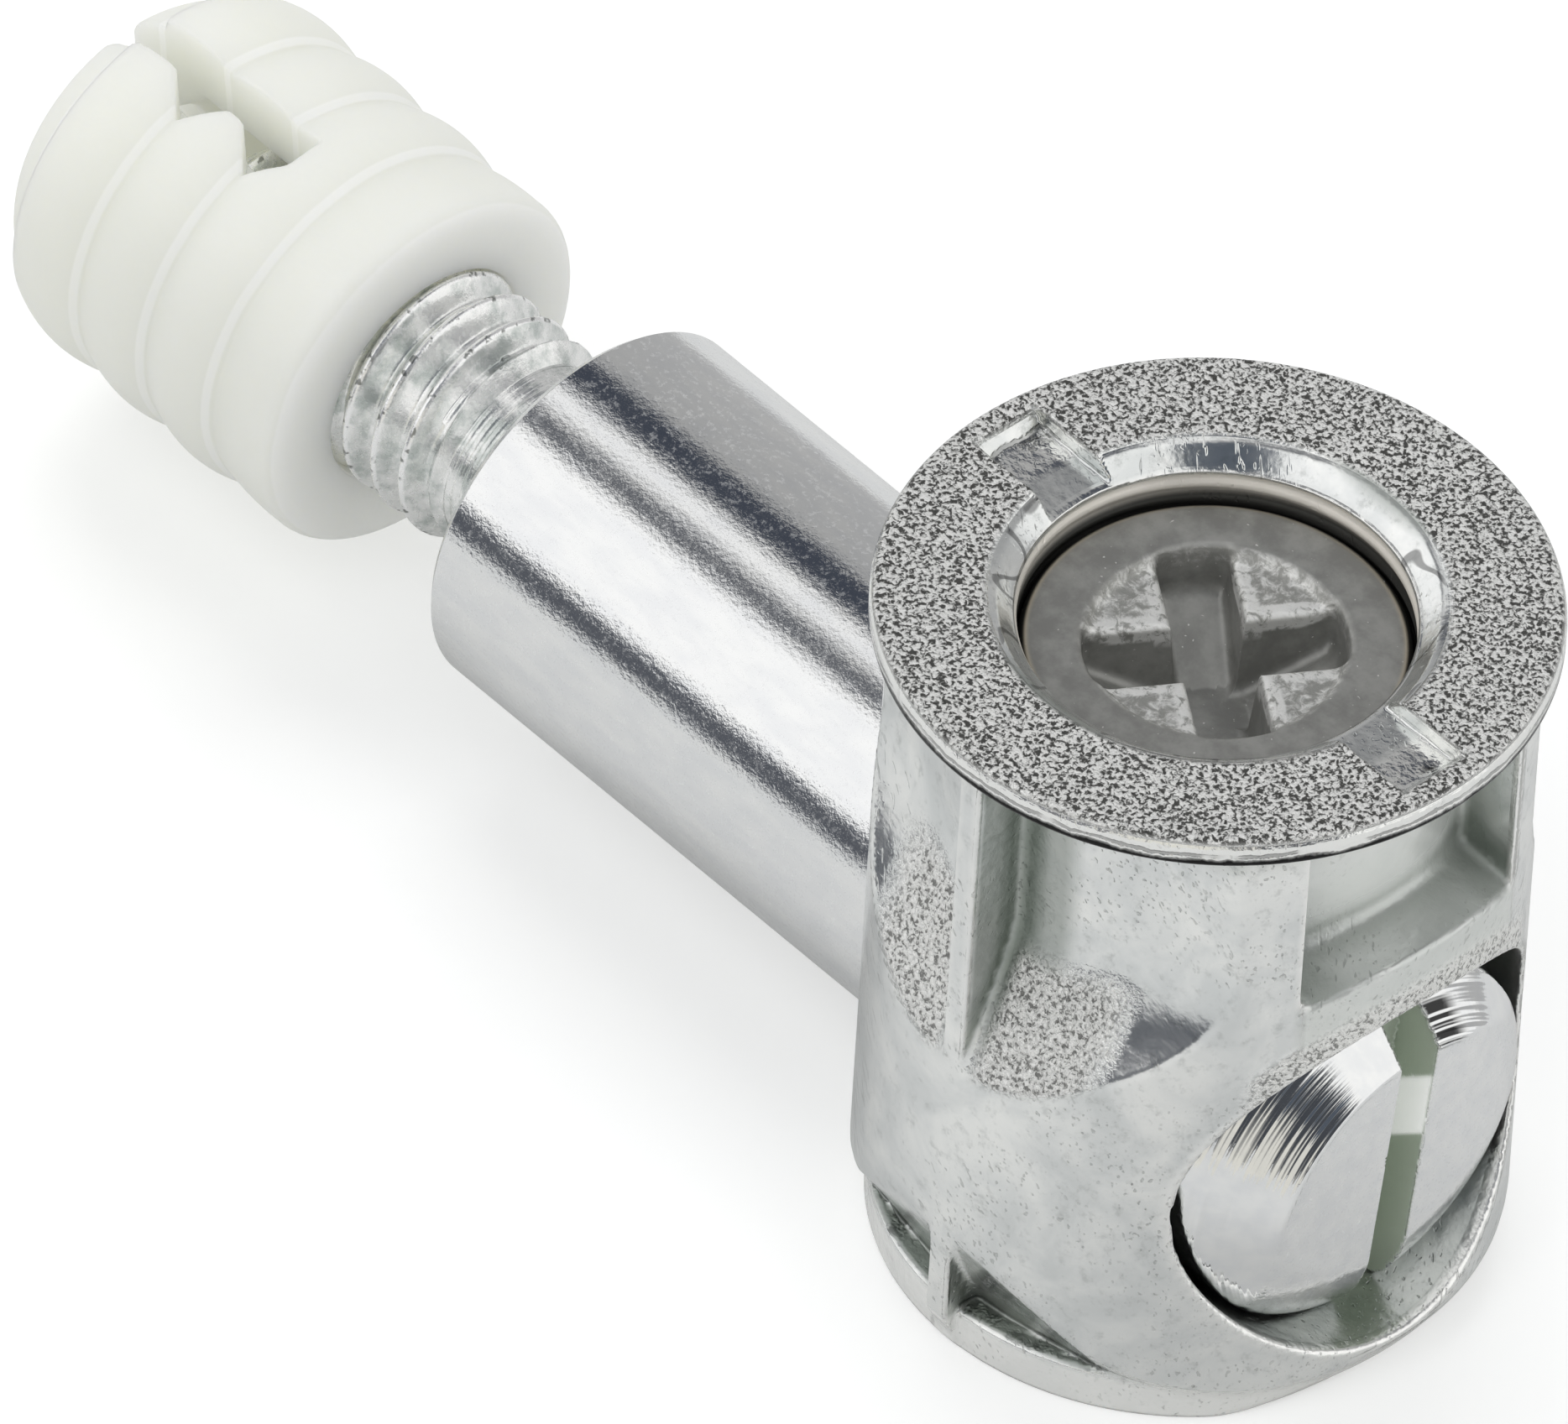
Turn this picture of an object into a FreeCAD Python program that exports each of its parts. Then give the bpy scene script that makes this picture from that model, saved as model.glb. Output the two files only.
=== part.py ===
"""Cross dowel nut with its connecting bolt: a furniture fitting for two panels at right angles.

Four pieces: the die-cast barrel housing, the grub screw in its threaded bore, the bolt that lies
across it and the nylon dowel on the bolt's thread.  Millimetres, +Z up the housing's axis, origin
at the centre of the housing's foot, +X along the bolt towards its slotted head.
"""
import FreeCAD, Part
import math
import os

# ---- housing ---------------------------------------------------------------------------------
HOUSING_HEIGHT = 19.9        # foot to the top of the rim
BARREL_DIAMETER = 15.6       # runs in a 16 mm drilling
RIM_DIAMETER = 16.35
RIM_THICKNESS = 0.75
FOOT_DIAMETER = 14.8
FOOT_HEIGHT = 1.2
FOOT_END_REACH = 6.85        # the foot is cut back under both mouths of the cross hole
FOOT_END_RADIUS = 12.0
FOOT_END_ANGLE = 55.0        # degrees from the ground
BOLT_HEIGHT = 6.55           # axis of the bolt over the foot
CROSS_HOLE_DIAMETER = 11.0
BLOCK_DIAMETER = 16.5        # lying block round the cross hole, at the parting plane
BLOCK_DRAFT = 3.0            # degrees, towards both ends of the cross hole
MOUTH_WALL = 0.17            # metal under the cross hole at its mouths
UNDERSIDE_START = 2.0        # from here the block's underside curves up to its mouths
UNDERSIDE_REACH = 5.46       # a place on that curve from the housing's axis
UNDERSIDE_RADIUS = 7.5       # and how far it is there from the bolt's axis
TUBE_DIAMETER = 12.2         # upright tube round the grub screw
RIB_GAP = 6.6                # between the two ribs on either side of the bolt
RIB_EDGE_ANGLE = 37.0        # degrees from the bolt to where a rib leaves the barrel's surface
FIN_THICKNESS = 0.7          # fins on the parting plane
NOTCH_WIDTH = 1.9
NOTCH_DEPTH = 0.5
NOTCH_REACH = 7.55           # outer end of a notch from the axis, at the rim's face
NOTCH_SLOPE = 0.45           # how much shorter a notch is at its floor

# ---- grub screw ------------------------------------------------------------------------------
SCREW_DIAMETER = 9.4         # crests of its fine thread
SCREW_DEPTH = 1.4            # its face under the rim's face
SCREW_TIP_HEIGHT = 1.15      # its tip over the bolt's waist, as drawn here
SCREW_TIP_DIAMETER = 2.0
SCREW_FACE_DIAMETER = 8.8
LEAD_IN_DIAMETER = 10.7      # mouth of the housing's lead-in over the screw
LEAD_IN_DEPTH = 0.65
DISH_DIAMETER = 6.3
DISH_DEPTH = 0.3
CROSS_WIDTH = 1.8
CROSS_DEPTH = 2.2
CROSS_TURN = -32.0           # degrees about the screw's axis

# ---- bolt ------------------------------------------------------------------------------------
SHANK_DIAMETER = 9.9         # runs in a 10 mm drilling
SHANK_END = 21.6             # shoulder from the housing's axis
SHANK_CHAMFER = 0.25
WAIST_DIAMETER = 4.4
WAIST_LENGTH = 2.5
HEAD_REACH = 6.9             # face of the head from the housing's axis
HEAD_CROWN = 1.0             # height of the head's rounded edge
HEAD_FLAT_DIAMETER = 6.2
CROWN_MIDDLE_DIAMETER = 8.46 # a place on that edge
CROWN_MIDDLE_FALL = 0.33     # and how far it is behind the face there
HEAD_BEVEL_DIAMETER = 8.2    # bevel ground on the head's upper edge, where it meets the flat
HEAD_BEVEL_ANGLE = 43.0      # degrees off the bolt's axis
HEAD_BEVEL_SIDE = 0.7        # the bevel's axis stands off the bolt's, towards +Y
HEAD_BEVEL_DROP = 1.2        # and below it
DRIVE_SLOT_WIDTH = 1.15
DRIVE_SLOT_DEPTH = 1.4
DRIVE_SLOT_OFFSET = 0.56     # the slot is cut off centre
DRIVE_SLOT_TURN = 6.0        # degrees about the bolt's axis
THREAD_DIAMETER = 5.9        # M6, drawn at its crests
THREAD_CHAMFER = 0.6
NECK_DIAMETER = 4.9          # run-out next to the shoulder
NECK_LENGTH = 2.65
THREAD_REACH = 6.5           # how far the thread stands in the dowel

# ---- nylon dowel -----------------------------------------------------------------------------
DOWEL_START = 27.1           # its near face from the housing's axis
BEAD_PITCH = 2.4
BEAD_COUNT = 3
BEAD_DIAMETER = 10.0
BEAD_VALLEY_DIAMETER = 9.46
COLLAR_LENGTH = 2.3
COLLAR_DIAMETER = 9.8
COLLAR_FACE_DIAMETER = 8.8
NOSE_LENGTH = 1.3
NOSE_DIAMETER = 6.8
NOSE_MIDDLE_DIAMETER = 8.0   # a place on the nose's round
NOSE_MIDDLE_LENGTH = 0.5     # and how far it is from the end
NOSE_HOLE_DIAMETER = 3.0
SPLIT_WIDTH = 0.9
SPLIT_LENGTH = 6.9
SPLIT_TURN = 7.0             # degrees about the bolt's axis
NICK_REACH = 1.35            # nicks where a valley meets the split: how far they go from its middle
NICK_LENGTH = 2.85           # how long they are there
NICK_FLOOR_DIAMETER = 6.9    # and how far in they go

# ---- clearances ------------------------------------------------------------------------------
BOLT_CLEARANCE = 0.05        # under the bolt where it lies in the cross hole
SCREW_CLEARANCE = 0.05       # round the grub screw
FLANK_CLEARANCE = 0.04       # between the screw's cone and the bolt's flank
THREAD_CLEARANCE = 0.05      # round the bolt's thread in the dowel
THREAD_END_GAP = 1.6         # past the end of the thread in the dowel

# ---- worked out ------------------------------------------------------------------------------
BARREL_R = BARREL_DIAMETER / 2
OUTER_R = RIM_DIAMETER / 2
TUBE_R = TUBE_DIAMETER / 2
SHANK_R = SHANK_DIAMETER / 2
WAIST_R = WAIST_DIAMETER / 2
SCREW_R = SCREW_DIAMETER / 2 - SCREW_CLEARANCE
RIM_UNDERSIDE = HOUSING_HEIGHT - RIM_THICKNESS
CROSS_HOLE_R = CROSS_HOLE_DIAMETER / 2
CROSS_HOLE_HEIGHT = BOLT_HEIGHT + CROSS_HOLE_R - SHANK_R - BOLT_CLEARANCE
MOUTH_RADIUS = SHANK_R + BOLT_CLEARANCE + MOUTH_WALL
SCREW_TOP = HOUSING_HEIGHT - SCREW_DEPTH
SCREW_TIP = BOLT_HEIGHT + WAIST_R + SCREW_TIP_HEIGHT
WAIST_HEAD_SIDE = SCREW_TIP_DIAMETER / 2 - SCREW_TIP_HEIGHT + FLANK_CLEARANCE
WAIST_SHANK_SIDE = WAIST_HEAD_SIDE - WAIST_LENGTH
FLANK_LENGTH = SHANK_R - WAIST_R
THREAD_END = DOWEL_START + THREAD_REACH
DOWEL_END = DOWEL_START + COLLAR_LENGTH + BEAD_PITCH * BEAD_COUNT + NOSE_LENGTH
QUARTER_ROUND = 1 - math.sqrt(0.5)  # corner to the middle of a quarter round, by its radius

UP = FreeCAD.Vector(0, 0, 1)
ALONG = FreeCAD.Vector(1, 0, 0)
ORIGIN = FreeCAD.Vector(0, 0, 0)
BOLT_AXIS = FreeCAD.Vector(0, 0, BOLT_HEIGHT)


def point(x, y, z=0.0):
    return FreeCAD.Vector(x, y, z)


def upright(diameter, bottom, top):
    """A cylinder on the housing's axis."""
    return Part.makeCylinder(diameter / 2, top - bottom, point(0, 0, bottom), UP)


def turned(outline, centre, axis):
    """A turned solid: the outline's edges lie in the XZ plane and close on the axis."""
    face = Part.Face(Part.Wire(outline))
    return face.revolve(centre, axis, 360)


def lines(points):
    """Straight edges through the points, in order."""
    return [Part.makeLine(a, b) for a, b in zip(points, points[1:])]


def arc(start, middle, end):
    return Part.Arc(start, middle, end).toShape()


def on_bolt(x, radius):
    """A point of a profile turned about the bolt's axis."""
    return point(x, 0, BOLT_HEIGHT + radius)


def box_across_bolt(start, end, width, middle=0.0):
    """An upright slot about a middle plane, from start to end along the bolt, open at both edges."""
    reach = HOUSING_HEIGHT / 2
    return Part.makeBox(end - start, width, 2 * reach,
                        point(start, middle - width / 2, BOLT_HEIGHT - reach))


def turned_about_bolt(shape, degrees):
    """The shape, turned about the bolt's axis with its top going towards +Y."""
    shape.rotate(BOLT_AXIS, ALONG, -degrees)
    return shape


# ---- housing ---------------------------------------------------------------------------------
def drafted_radius(x):
    """The block's radius about the bolt's axis, at x from the parting plane."""
    return BLOCK_DIAMETER / 2 - x * math.tan(math.radians(BLOCK_DRAFT))


def upper_block(side):
    """A drafted cone on one side of the parting plane: the block above the bolt's axis."""
    cone = Part.makeCone(drafted_radius(0), drafted_radius(BARREL_R), BARREL_R, BOLT_AXIS,
                         ALONG * side)
    return cone.common(upright(2 * OUTER_R, BOLT_HEIGHT, RIM_UNDERSIDE))


def lower_block(side):
    """The same below the bolt's axis, where it curves up to the mouth of the cross hole."""
    start = on_bolt(side * UNDERSIDE_START, drafted_radius(UNDERSIDE_START))
    middle = on_bolt(side * UNDERSIDE_REACH, UNDERSIDE_RADIUS)
    end = on_bolt(side * BARREL_R, MOUTH_RADIUS)
    edges = lines([on_bolt(side * BARREL_R, 0), on_bolt(0, 0), on_bolt(0, drafted_radius(0)), start])
    edges.append(arc(start, middle, end))
    edges += lines([end, on_bolt(side * BARREL_R, 0)])
    return turned(edges, BOLT_AXIS, ALONG).common(upright(2 * OUTER_R, 0, BOLT_HEIGHT))


def lying_block():
    """The block round the cross hole, trimmed to the barrel."""
    quarters = [make(side) for make in (upper_block, lower_block) for side in (1, -1)]
    block = quarters[0].multiFuse(quarters[1:])
    return block.common(upright(BARREL_DIAMETER, FOOT_HEIGHT / 2, RIM_UNDERSIDE))


def foot():
    """The disc it stands on, cut back under both mouths of the cross hole."""
    disc = upright(FOOT_DIAMETER, 0, FOOT_HEIGHT)
    growth = FOOT_HEIGHT / math.tan(math.radians(FOOT_END_ANGLE))
    for side in (1, -1):
        centre = point(side * (FOOT_END_REACH - FOOT_END_RADIUS), 0)
        disc = disc.common(Part.makeCone(FOOT_END_RADIUS, FOOT_END_RADIUS + growth, FOOT_HEIGHT,
                                         centre, UP))
    return disc


def rib_section():
    """Half a rib pair in plan: from the gap's wall round the barrel, then flat to the tube."""
    gap_angle = math.asin(RIB_GAP / 2 / BARREL_R)
    edge_angle = math.radians(RIB_EDGE_ANGLE)
    touch_angle = edge_angle + math.acos(TUBE_R / BARREL_R)
    middle_angle = (gap_angle + edge_angle) / 2

    def around(radius, angle):
        return point(radius * math.cos(angle), radius * math.sin(angle), BOLT_HEIGHT)

    inner = point(0, RIB_GAP / 2, BOLT_HEIGHT)
    gap_corner = around(BARREL_R, gap_angle)
    edge_corner = around(BARREL_R, edge_angle)
    touch = around(TUBE_R, touch_angle)
    edges = lines([inner, gap_corner])
    edges.append(arc(gap_corner, around(BARREL_R, middle_angle), edge_corner))
    edges += lines([edge_corner, touch, point(0, touch.y, BOLT_HEIGHT), inner])
    return Part.Face(Part.Wire(edges))


def ribs():
    """The four ribs, which carry the rim from the block."""
    rib = rib_section().extrude(UP * (RIM_UNDERSIDE - BOLT_HEIGHT))
    across = rib.mirror(ORIGIN, point(0, 1, 0))
    pair = [rib, across]
    return pair + [one.mirror(ORIGIN, ALONG) for one in pair]


def fins():
    """The plate on the parting plane that shows as a fin on either side."""
    plate = Part.makeBox(FIN_THICKNESS, BARREL_DIAMETER, RIM_UNDERSIDE,
                         point(-FIN_THICKNESS / 2, -BARREL_R, 0))
    return plate.common(upright(BARREL_DIAMETER, 0, HOUSING_HEIGHT))


def rim_notch(side):
    """A notch in the rim's face, open to the lead-in, with a sloping outer end."""
    floor = HOUSING_HEIGHT - NOTCH_DEPTH
    outline = [point(0, 0, floor), point(NOTCH_REACH - NOTCH_SLOPE, 0, floor),
               point(NOTCH_REACH, 0, HOUSING_HEIGHT), point(0, 0, HOUSING_HEIGHT)]
    face = Part.Face(Part.Wire(lines(outline + outline[:1])))
    notch = face.extrude(point(0, NOTCH_WIDTH, 0))
    notch.translate(point(0, -NOTCH_WIDTH / 2, 0))
    if side < 0:
        notch.rotate(ORIGIN, UP, 180)
    return notch


def screw_bore():
    """Room for the grub screw: a lead-in, then the threaded bore down to the cross hole."""
    lead_floor = HOUSING_HEIGHT - LEAD_IN_DEPTH
    lead_in = Part.makeCone(SCREW_DIAMETER / 2, LEAD_IN_DIAMETER / 2, LEAD_IN_DEPTH,
                            point(0, 0, lead_floor), UP)
    return upright(SCREW_DIAMETER, CROSS_HOLE_HEIGHT, lead_floor).fuse(lead_in)


def cross_hole():
    start = point(-OUTER_R, 0, CROSS_HOLE_HEIGHT)
    return Part.makeCylinder(CROSS_HOLE_R, 2 * OUTER_R, start, ALONG)


def make_housing():
    solid = upright(TUBE_DIAMETER, FOOT_HEIGHT / 2, RIM_UNDERSIDE)
    rim = upright(RIM_DIAMETER, RIM_UNDERSIDE, HOUSING_HEIGHT)
    solid = solid.multiFuse([lying_block(), fins(), rim, foot()] + ribs())
    solid = solid.cut(cross_hole()).cut(screw_bore())
    for side in (1, -1):
        solid = solid.cut(rim_notch(side))
    return solid.removeSplitter()


# ---- grub screw ------------------------------------------------------------------------------
def cross_recess():
    """The driver's cross, under a shallow dish."""
    dish_floor = SCREW_TOP - DISH_DEPTH
    dish = upright(DISH_DIAMETER, dish_floor, SCREW_TOP)
    arm = Part.makeBox(DISH_DIAMETER, CROSS_WIDTH, CROSS_DEPTH,
                       point(-DISH_DIAMETER / 2, -CROSS_WIDTH / 2, dish_floor - CROSS_DEPTH))
    other = arm.copy()
    other.rotate(ORIGIN, UP, 90)
    cross = arm.fuse(other).common(upright(DISH_DIAMETER, 0, HOUSING_HEIGHT))
    cross.rotate(ORIGIN, UP, CROSS_TURN)
    return dish.fuse(cross)


def make_grub_screw():
    edge = SCREW_R - SCREW_FACE_DIAMETER / 2
    tip_r = SCREW_TIP_DIAMETER / 2
    cone_height = SCREW_R - tip_r
    outline = [point(0, 0, SCREW_TIP), point(tip_r, 0, SCREW_TIP),
               point(SCREW_R, 0, SCREW_TIP + cone_height), point(SCREW_R, 0, SCREW_TOP - edge),
               point(SCREW_R - edge, 0, SCREW_TOP), point(0, 0, SCREW_TOP)]
    body = turned(lines(outline + outline[:1]), ORIGIN, UP)
    return body.cut(cross_recess()).removeSplitter()


# ---- bolt ------------------------------------------------------------------------------------
def bevelled_head(body):
    """The bolt with a conical bevel, off its axis, on the upper edge of its head."""
    inner_r = HEAD_BEVEL_DIAMETER / 2
    outer_r = inner_r + SHANK_R
    depth = SHANK_R / math.tan(math.radians(HEAD_BEVEL_ANGLE))
    centre = point(HEAD_REACH, HEAD_BEVEL_SIDE, BOLT_HEIGHT - HEAD_BEVEL_DROP)
    around = Part.makeCylinder(outer_r, depth, centre, -ALONG)
    return body.cut(around.cut(Part.makeCone(inner_r, outer_r, depth, centre, -ALONG)))


def make_bolt():
    neck_r = NECK_DIAMETER / 2
    thread_r = THREAD_DIAMETER / 2
    crown_start = HEAD_REACH - HEAD_CROWN
    flat_r = HEAD_FLAT_DIAMETER / 2
    crown_middle = on_bolt(HEAD_REACH - CROWN_MIDDLE_FALL, CROWN_MIDDLE_DIAMETER / 2)
    outline = [on_bolt(HEAD_REACH, 0), on_bolt(-THREAD_END, 0),
               on_bolt(-THREAD_END, thread_r - THREAD_CHAMFER),
               on_bolt(-THREAD_END + THREAD_CHAMFER, thread_r),
               on_bolt(-SHANK_END - NECK_LENGTH - (thread_r - neck_r), thread_r),
               on_bolt(-SHANK_END - NECK_LENGTH, neck_r), on_bolt(-SHANK_END, neck_r),
               on_bolt(-SHANK_END, SHANK_R - SHANK_CHAMFER),
               on_bolt(-SHANK_END + SHANK_CHAMFER, SHANK_R),
               on_bolt(WAIST_SHANK_SIDE - FLANK_LENGTH, SHANK_R), on_bolt(WAIST_SHANK_SIDE, WAIST_R),
               on_bolt(WAIST_HEAD_SIDE, WAIST_R), on_bolt(WAIST_HEAD_SIDE + FLANK_LENGTH, SHANK_R),
               on_bolt(crown_start, SHANK_R)]
    edges = lines(outline)
    edges.append(arc(outline[-1], crown_middle, on_bolt(HEAD_REACH, flat_r)))
    edges += lines([on_bolt(HEAD_REACH, flat_r), outline[0]])
    body = turned(edges, BOLT_AXIS, ALONG)
    slot = box_across_bolt(HEAD_REACH - DRIVE_SLOT_DEPTH, HEAD_REACH, DRIVE_SLOT_WIDTH,
                           DRIVE_SLOT_OFFSET)
    return bevelled_head(body).cut(turned_about_bolt(slot, DRIVE_SLOT_TURN))


# ---- nylon dowel -----------------------------------------------------------------------------
def dowel_outline():
    """Its outside from the near face to the nose: a collar, a row of beads, a rounded nose."""
    valley_r = BEAD_VALLEY_DIAMETER / 2
    bead_r = BEAD_DIAMETER / 2
    collar_r = COLLAR_DIAMETER / 2
    face_r = COLLAR_FACE_DIAMETER / 2
    x = -DOWEL_START
    edge = collar_r - face_r
    inset = edge * QUARTER_ROUND
    edges = [arc(on_bolt(x, face_r), on_bolt(x - inset, collar_r - inset),
                 on_bolt(x - edge, collar_r))]
    valley = x - COLLAR_LENGTH
    edges.append(arc(on_bolt(x - edge, collar_r), on_bolt((x - edge + valley) / 2, collar_r),
                     on_bolt(valley, valley_r)))
    for bead in range(BEAD_COUNT):
        last = bead == BEAD_COUNT - 1
        end_r = valley_r - (bead_r - valley_r) if last else valley_r
        edges.append(arc(on_bolt(valley, valley_r), on_bolt(valley - BEAD_PITCH / 2, bead_r),
                         on_bolt(valley - BEAD_PITCH, end_r)))
        valley -= BEAD_PITCH
    middle = on_bolt(NOSE_MIDDLE_LENGTH - DOWEL_END, NOSE_MIDDLE_DIAMETER / 2)
    edges.append(arc(on_bolt(valley, end_r), middle, on_bolt(-DOWEL_END, NOSE_DIAMETER / 2)))
    return edges


def split_and_nicks():
    """The split through the nose, with a nick in its -Y side where a valley crosses it."""
    split_end = SPLIT_LENGTH - DOWEL_END
    split = box_across_bolt(-DOWEL_END, split_end, SPLIT_WIDTH)
    within = box_across_bolt(-DOWEL_END, split_end, BEAD_DIAMETER)
    core = Part.makeCylinder(NICK_FLOOR_DIAMETER / 2, DOWEL_END, BOLT_AXIS, -ALONG)
    for number in range(BEAD_COUNT):
        valley = -DOWEL_START - COLLAR_LENGTH - BEAD_PITCH * number
        corners = [point(valley - NICK_LENGTH / 2, 0), point(valley + NICK_LENGTH / 2, 0),
                   point(valley, -NICK_REACH)]
        nick = Part.Face(Part.Wire(lines(corners + corners[:1]))).extrude(UP * HOUSING_HEIGHT)
        if valley < split_end:
            split = split.fuse(nick.common(within).cut(core))
    return turned_about_bolt(split, -SPLIT_TURN)


def make_dowel():
    bore_r = THREAD_DIAMETER / 2 + THREAD_CLEARANCE
    hole_r = NOSE_HOLE_DIAMETER / 2
    bore_end = -THREAD_END - THREAD_END_GAP
    cone_end = bore_end - (bore_r - hole_r)
    inside = [on_bolt(-DOWEL_END, NOSE_DIAMETER / 2), on_bolt(-DOWEL_END, hole_r),
              on_bolt(cone_end, hole_r), on_bolt(bore_end, bore_r), on_bolt(-DOWEL_START, bore_r),
              on_bolt(-DOWEL_START, COLLAR_FACE_DIAMETER / 2)]
    body = turned(dowel_outline() + lines(inside), BOLT_AXIS, ALONG)
    return body.cut(split_and_nicks())


PIECES = {"housing": make_housing, "grub_screw": make_grub_screw, "bolt": make_bolt,
          "dowel": make_dowel}

os.makedirs("parts", exist_ok=True)
for name, make in PIECES.items():
    shape = make()
    solids = shape.Solids
    if len(solids) != 1 or not shape.isValid():
        raise RuntimeError(f"{name}: {len(solids)} solids, valid {shape.isValid()}")
    box = shape.BoundBox
    print(f"{name}: {solids[0].Volume:.1f} mm3, x {box.XMin:.2f} to {box.XMax:.2f}, "
          f"y {box.YMin:.2f} to {box.YMax:.2f}, z {box.ZMin:.2f} to {box.ZMax:.2f}")
    solids[0].exportStep(f"parts/{name}.step")
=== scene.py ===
import math

import bpy
import numpy as np
from mathutils import Matrix, Vector


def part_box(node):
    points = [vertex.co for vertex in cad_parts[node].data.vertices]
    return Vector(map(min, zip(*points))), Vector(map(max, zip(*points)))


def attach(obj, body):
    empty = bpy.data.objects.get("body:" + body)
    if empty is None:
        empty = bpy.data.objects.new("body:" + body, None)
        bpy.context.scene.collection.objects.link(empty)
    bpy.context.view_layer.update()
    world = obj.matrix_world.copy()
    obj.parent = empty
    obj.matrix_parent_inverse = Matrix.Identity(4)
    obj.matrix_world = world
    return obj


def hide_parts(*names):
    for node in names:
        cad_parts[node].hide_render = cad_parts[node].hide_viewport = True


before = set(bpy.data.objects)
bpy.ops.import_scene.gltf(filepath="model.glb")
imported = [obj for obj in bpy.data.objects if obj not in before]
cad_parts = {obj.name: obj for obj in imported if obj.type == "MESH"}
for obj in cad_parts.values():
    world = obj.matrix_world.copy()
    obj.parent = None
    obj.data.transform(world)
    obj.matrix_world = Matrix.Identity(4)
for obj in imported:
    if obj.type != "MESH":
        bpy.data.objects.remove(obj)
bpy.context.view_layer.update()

# Sizes are in millimetres; a mesh is scaled to metres when it is made.
MM = 0.001


def reach(node):
    """Lowest and highest corner of a CAD node, in millimetres."""
    low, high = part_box(node)
    return np.array(low) / MM, np.array(high) / MM


_, housing_high = reach("housing")
screw_low, screw_high = reach("grub_screw")
bolt_low, bolt_high = reach("bolt")
dowel_low, dowel_high = reach("dowel")

# ---- housing -----------------------------------------------------------------------------------
RIM_TOP = housing_high[2]
RIM_R = housing_high[0]
RIM_THICKNESS = 0.75
RIM_UNDERSIDE = RIM_TOP - RIM_THICKNESS
BARREL_R = 7.8
TUBE_R = 6.1
RIB_GAP = 6.6
RIB_EDGE = math.radians(37)
FIN = 0.7
BLOCK_R = 8.25
BLOCK_DRAFT = math.tan(math.radians(3))
UNDERSIDE = [(2.0, 8.145), (5.46, 7.5), (7.8, 5.17)]   # along the bolt, and off its axis
CROSS_HOLE_R = 5.5
CROSS_HOLE_GAP = 0.05        # under the shank, which lies low in the hole
FOOT_R = 7.4
FOOT_HEIGHT = 1.2
FOOT_END_REACH = 6.85
FOOT_END_R = 12.0
FOOT_END_SLOPE = math.radians(55)
BORE_R = 4.7
LEAD_IN_R = 5.35
LEAD_IN_DEPTH = 0.65
NOTCH_WIDTH = 1.9
NOTCH_DEPTH = 0.5
NOTCH_REACH = 7.55
NOTCH_SLOPE = 0.9
BORE_THREAD_PITCH = 0.5
BORE_THREAD_DEPTH = 0.1
WALL_FILLET = 1.5
GAP_FILLET = 0.35
FIN_FILLET = 0.25
FIN_FLARE = 0.5              # outwards for each step up, from just over the floor
RIM_FILLET = 0.08
FOOT_FILLET = 0.15
RIB_ARRIS = 0.12
BARREL_ARRIS = 0.09
RIM_ARRIS = 0.28
FOOT_ARRIS = 0.12
CROSS_HOLE_ARRIS = 0.16
BORE_ARRIS = 0.14
NOTCH_ARRIS = 0.07

# ---- grub screw --------------------------------------------------------------------------------
SCREW_R = screw_high[0]
SCREW_TOP = screw_high[2]
SCREW_TIP = screw_low[2]
SCREW_TIP_R = 1.0
SCREW_EDGE = 0.25
DISH_R = 3.15
DISH_DEPTH = 0.3
DISH_SLOPE = 0.6
DISH_ARRIS = 0.12
CROSS_WIDTH = 1.8
CROSS_DEPTH = 2.2
CROSS_RISE = 0.55
CROSS_TAPER = 0.08
CROSS_ARRIS = 0.18
CROSS_TURN = math.radians(-32)

# ---- bolt --------------------------------------------------------------------------------------
BOLT_Z = (bolt_low[2] + bolt_high[2]) / 2
SHANK_R = bolt_high[1]
HEAD_FACE = bolt_high[0]
THREAD_END = bolt_low[0]
SHOULDER = -21.6
SHANK_CHAMFER = 0.25
WAIST_R = 2.2
WAIST = (-2.61, -0.11)
CROWN_HEIGHT = 1.0
CROWN_FLAT_R = 3.1
CROWN_FULLNESS = 1.56
BEVEL_R = 4.1
BEVEL_SLOPE = math.radians(43)
BEVEL_ASIDE = 0.7
BEVEL_BELOW = 1.2
BOLT_ARRIS = 0.05
SLOT_WIDTH = 1.15
SLOT_DEPTH = 1.4
SLOT_ASIDE = 0.56
SLOT_ARRIS = 0.04
SLOT_TURN = math.radians(6)
NECK_R = 2.45
NECK_END = SHOULDER - 2.65
NECK_GROOVE = 0.025
NECK_GROOVE_PITCH = 0.26
THREAD_R = 2.95
THREAD_PITCH = 1.0
THREAD_DEPTH = 0.55
THREAD_CHAMFER = 0.6

# ---- nylon dowel -------------------------------------------------------------------------------
DOWEL_FACE = dowel_high[0]
DOWEL_TIP = dowel_low[0]
BEAD_R = 5.0
BEAD_PITCH = 2.4
BEAD_COUNT = 3
VALLEY_R = 4.73
COLLAR_LENGTH = 2.3
COLLAR_R = 4.9
COLLAR_ROUND = 0.5
COLLAR_STRAIGHT = 0.9
NOSE_LENGTH = 1.3
NOSE = [(0, 3.4), (0.5, 4.0), (1.3, 4.46)]   # along the bolt from the tip, and off its axis
NOSE_HOLE_R = 1.5
DOWEL_BORE_R = 2.97
DOWEL_BORE_END = THREAD_END - 1.6
SPLIT_WIDTH = 0.9
SPLIT_LENGTH = 6.9
SPLIT_TURN = math.radians(-7)
NICK_REACH = 1.35
NICK_LENGTH = 2.85
NICK_FLOOR_R = 3.45
SPLIT_ARRIS = 0.1


def ramp(value, off, on):
    """0 as far as off and 1 from on, in a straight line between; either may be the higher."""
    return np.clip((value - off) / (on - off), 0, 1)


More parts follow.
